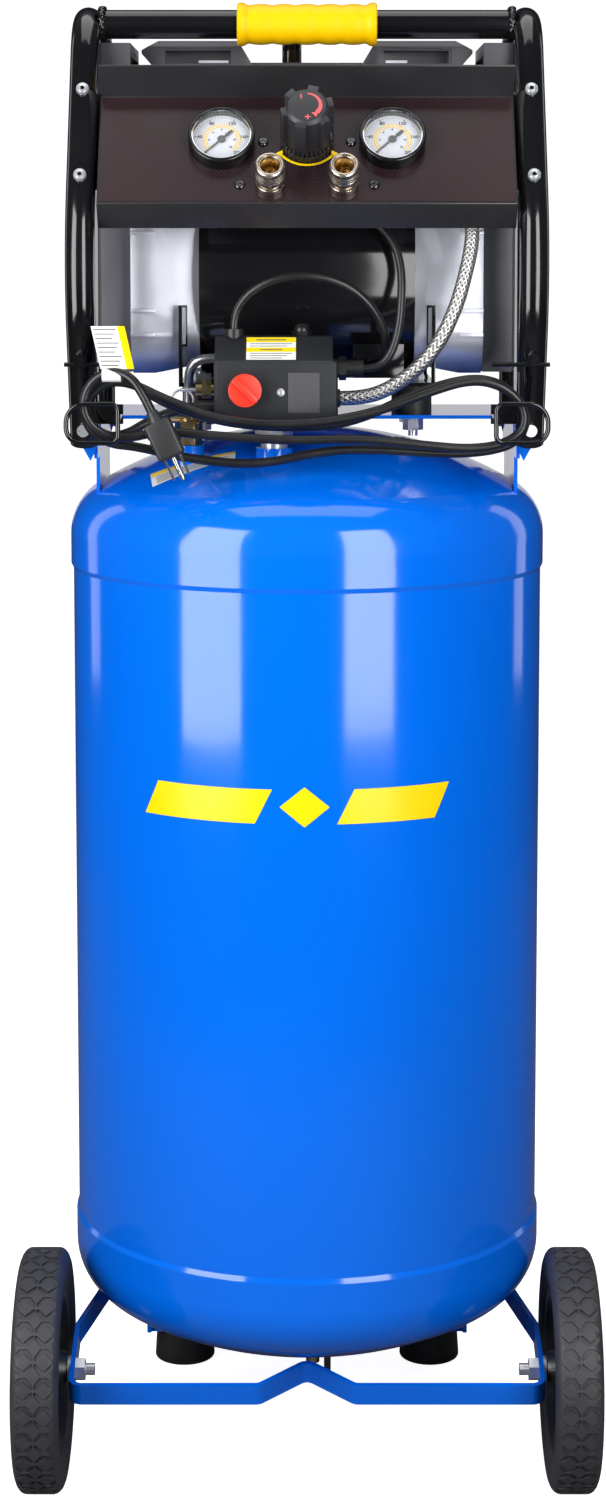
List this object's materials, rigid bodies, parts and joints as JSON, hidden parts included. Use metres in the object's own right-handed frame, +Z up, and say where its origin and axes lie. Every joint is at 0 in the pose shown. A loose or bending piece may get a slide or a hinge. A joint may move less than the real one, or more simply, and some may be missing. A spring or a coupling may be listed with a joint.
{
  "type": "upright air compressor",
  "caption": "Upright wheeled air compressor: tall tank, twin-ended oil-free pump on a deck, sloping control panel with gauges and couplers between tube frames.",
  "frame": {"origin": "centre of the bounding box footprint, on the floor", "axes": "+Z up, +X to the right seen from the panel side, the control panel faces -Y"},
  "size_m": [0.484, 0.42, 1.2437],
  "materials": {
    "aluminium_tube": "drawn",
    "black_paint": "glossy black powder coat",
    "black_plastic": "fine moulded texture",
    "brass": "machined",
    "cable_sheath": "smooth black vinyl",
    "cast_aluminium": "fine blasted casting",
    "dial_card": "printed white",
    "foot_rubber": "matt",
    "hub_plastic": "satin moulded nylon",
    "label_film": "printed film with fine dots",
    "laminations": "stacked steel",
    "lens": "clear",
    "motor_paint": "glossy black enamel",
    "needle_paint": "black",
    "nickel": "bright nickel plate",
    "red_plastic": "moulded",
    "shroud_plastic": "fine moulded texture",
    "steel_braid": "woven stainless wire",
    "tank_paint": "glossy blue powder coat",
    "tyre": "moulded tread, matt",
    "yellow_grip": "soft moulded sleeve",
    "zinc": "bright zinc plate"
  },
  "bodies": {
    "machine": {"tank_shell": "tank_paint", "tank_head_top": "tank_paint", "tank_head_bottom": "tank_paint", "tank_ports": "tank_paint", "drain_valve": "brass", "wheel_strap": "tank_paint", "foot_bracket": "tank_paint", "rubber_feet": "foot_rubber", "axle_bolts": "zinc", "axle_nuts": "zinc", "deck": "tank_paint", "isolators": "foot_rubber", "isolator_bolts": "zinc", "side_frame_left": "black_paint", "side_frame_right": "black_paint", "cross_bar": "black_paint", "handle_grip": "yellow_grip", "frame_bolts": "zinc", "control_panel": "black_paint", "panel_label": "label_film", "panel_screws": "zinc", "regulator_body": "cast_aluminium", "gauge_cases": "black_plastic", "gauge_dials": "dial_card", "gauge_lenses": "lens", "coupler_bodies": "nickel", "pressure_switch_cover": "black_plastic", "switch_manifold": "zinc", "switch_glands": "black_plastic", "check_valve": "brass", "unloader_tube": "aluminium_tube", "discharge_tubes": "aluminium_tube", "safety_valve": "brass", "braided_hose": "steel_braid", "motor_cables": "cable_sheath", "motor_housing": "motor_paint", "stator": "laminations", "crankcases": "cast_aluminium", "cylinder_heads": "cast_aluminium", "end_shrouds": "shroud_plastic", "intake_covers": "shroud_plastic", "motor_brackets": "black_paint", "cord_hooks": "black_paint", "power_cord": "cable_sheath", "power_plug": "black_plastic"},
    "wheel_left": {"tyre_left": "tyre", "hub_left": "hub_plastic"},
    "wheel_right": {"tyre_right": "tyre", "hub_right": "hub_plastic"},
    "drain_lever": {"drain_lever": "black_plastic"},
    "regulator_knob": {"regulator_knob": "black_plastic"},
    "needle_left": {"needle_left": "needle_paint"},
    "needle_right": {"needle_right": "needle_paint"},
    "coupler_sleeve_left": {"coupler_sleeve_left": "nickel"},
    "coupler_sleeve_right": {"coupler_sleeve_right": "nickel"},
    "switch_knob": {"switch_knob": "red_plastic"},
    "safety_ring": {"safety_ring": "zinc"},
    "rotor": {"rotor": "laminations", "fans": "shroud_plastic"},
    "pistons": {"pistons": "cast_aluminium"}
  },
  "joints": [
    {"name": "wheel_left_spin", "type": "hinge", "parent": "machine", "child": "wheel_left", "pos_m": [-0.222, -0.11, 0.1], "axis": [1, 0, 0], "continuous": true},
    {"name": "wheel_right_spin", "type": "hinge", "parent": "machine", "child": "wheel_right", "pos_m": [0.222, -0.11, 0.1], "axis": [1, 0, 0], "continuous": true},
    {"name": "drain_lever_turn", "type": "hinge", "parent": "machine", "child": "drain_lever", "pos_m": [0.018, 0.008, 0.073], "axis": [1, 0, 0], "range_deg": [0, 90]},
    {"name": "regulator_knob_turn", "type": "hinge", "parent": "machine", "child": "regulator_knob", "pos_m": [0, -0.12342, 1.14313], "axis": [0, -0.8251, 0.565], "range_deg": [-540, 540]},
    {"name": "needle_left_swing", "type": "hinge", "parent": "machine", "child": "needle_left", "pos_m": [-0.069, -0.10279, 1.12901], "axis": [0, -0.8251, 0.565], "range_deg": [-270, 0], "stiffness_Nm_per_rad": 0.0005},
    {"name": "needle_right_swing", "type": "hinge", "parent": "machine", "child": "needle_right", "pos_m": [0.069, -0.10279, 1.12901], "axis": [0, -0.8251, 0.565], "range_deg": [-270, 0], "stiffness_Nm_per_rad": 0.0005},
    {"name": "coupler_left_retract", "type": "slide", "parent": "machine", "child": "coupler_sleeve_left", "axis": [0, 0.8251, -0.565], "range_m": [0, 0.004], "stiffness_N_per_m": 1500},
    {"name": "coupler_right_retract", "type": "slide", "parent": "machine", "child": "coupler_sleeve_right", "axis": [0, 0.8251, -0.565], "range_m": [0, 0.004], "stiffness_N_per_m": 1500},
    {"name": "switch_knob_turn", "type": "hinge", "parent": "machine", "child": "switch_knob", "pos_m": [-0.0498, -0.14, 0.928], "axis": [0, -1, 0], "range_deg": [0, 90]},
    {"name": "safety_ring_pull", "type": "slide", "parent": "machine", "child": "safety_ring", "axis": [-1, 0, 0], "range_m": [0, 0.005], "stiffness_N_per_m": 1500},
    {"name": "rotor_spin", "type": "hinge", "parent": "machine", "child": "rotor", "pos_m": [0, 0.013, 1.018], "axis": [1, 0, 0], "continuous": true},
    {"name": "piston_stroke", "type": "slide", "parent": "machine", "child": "pistons", "axis": [0, 0, 1], "range_m": [-0.01, 0.01]}
  ]
}
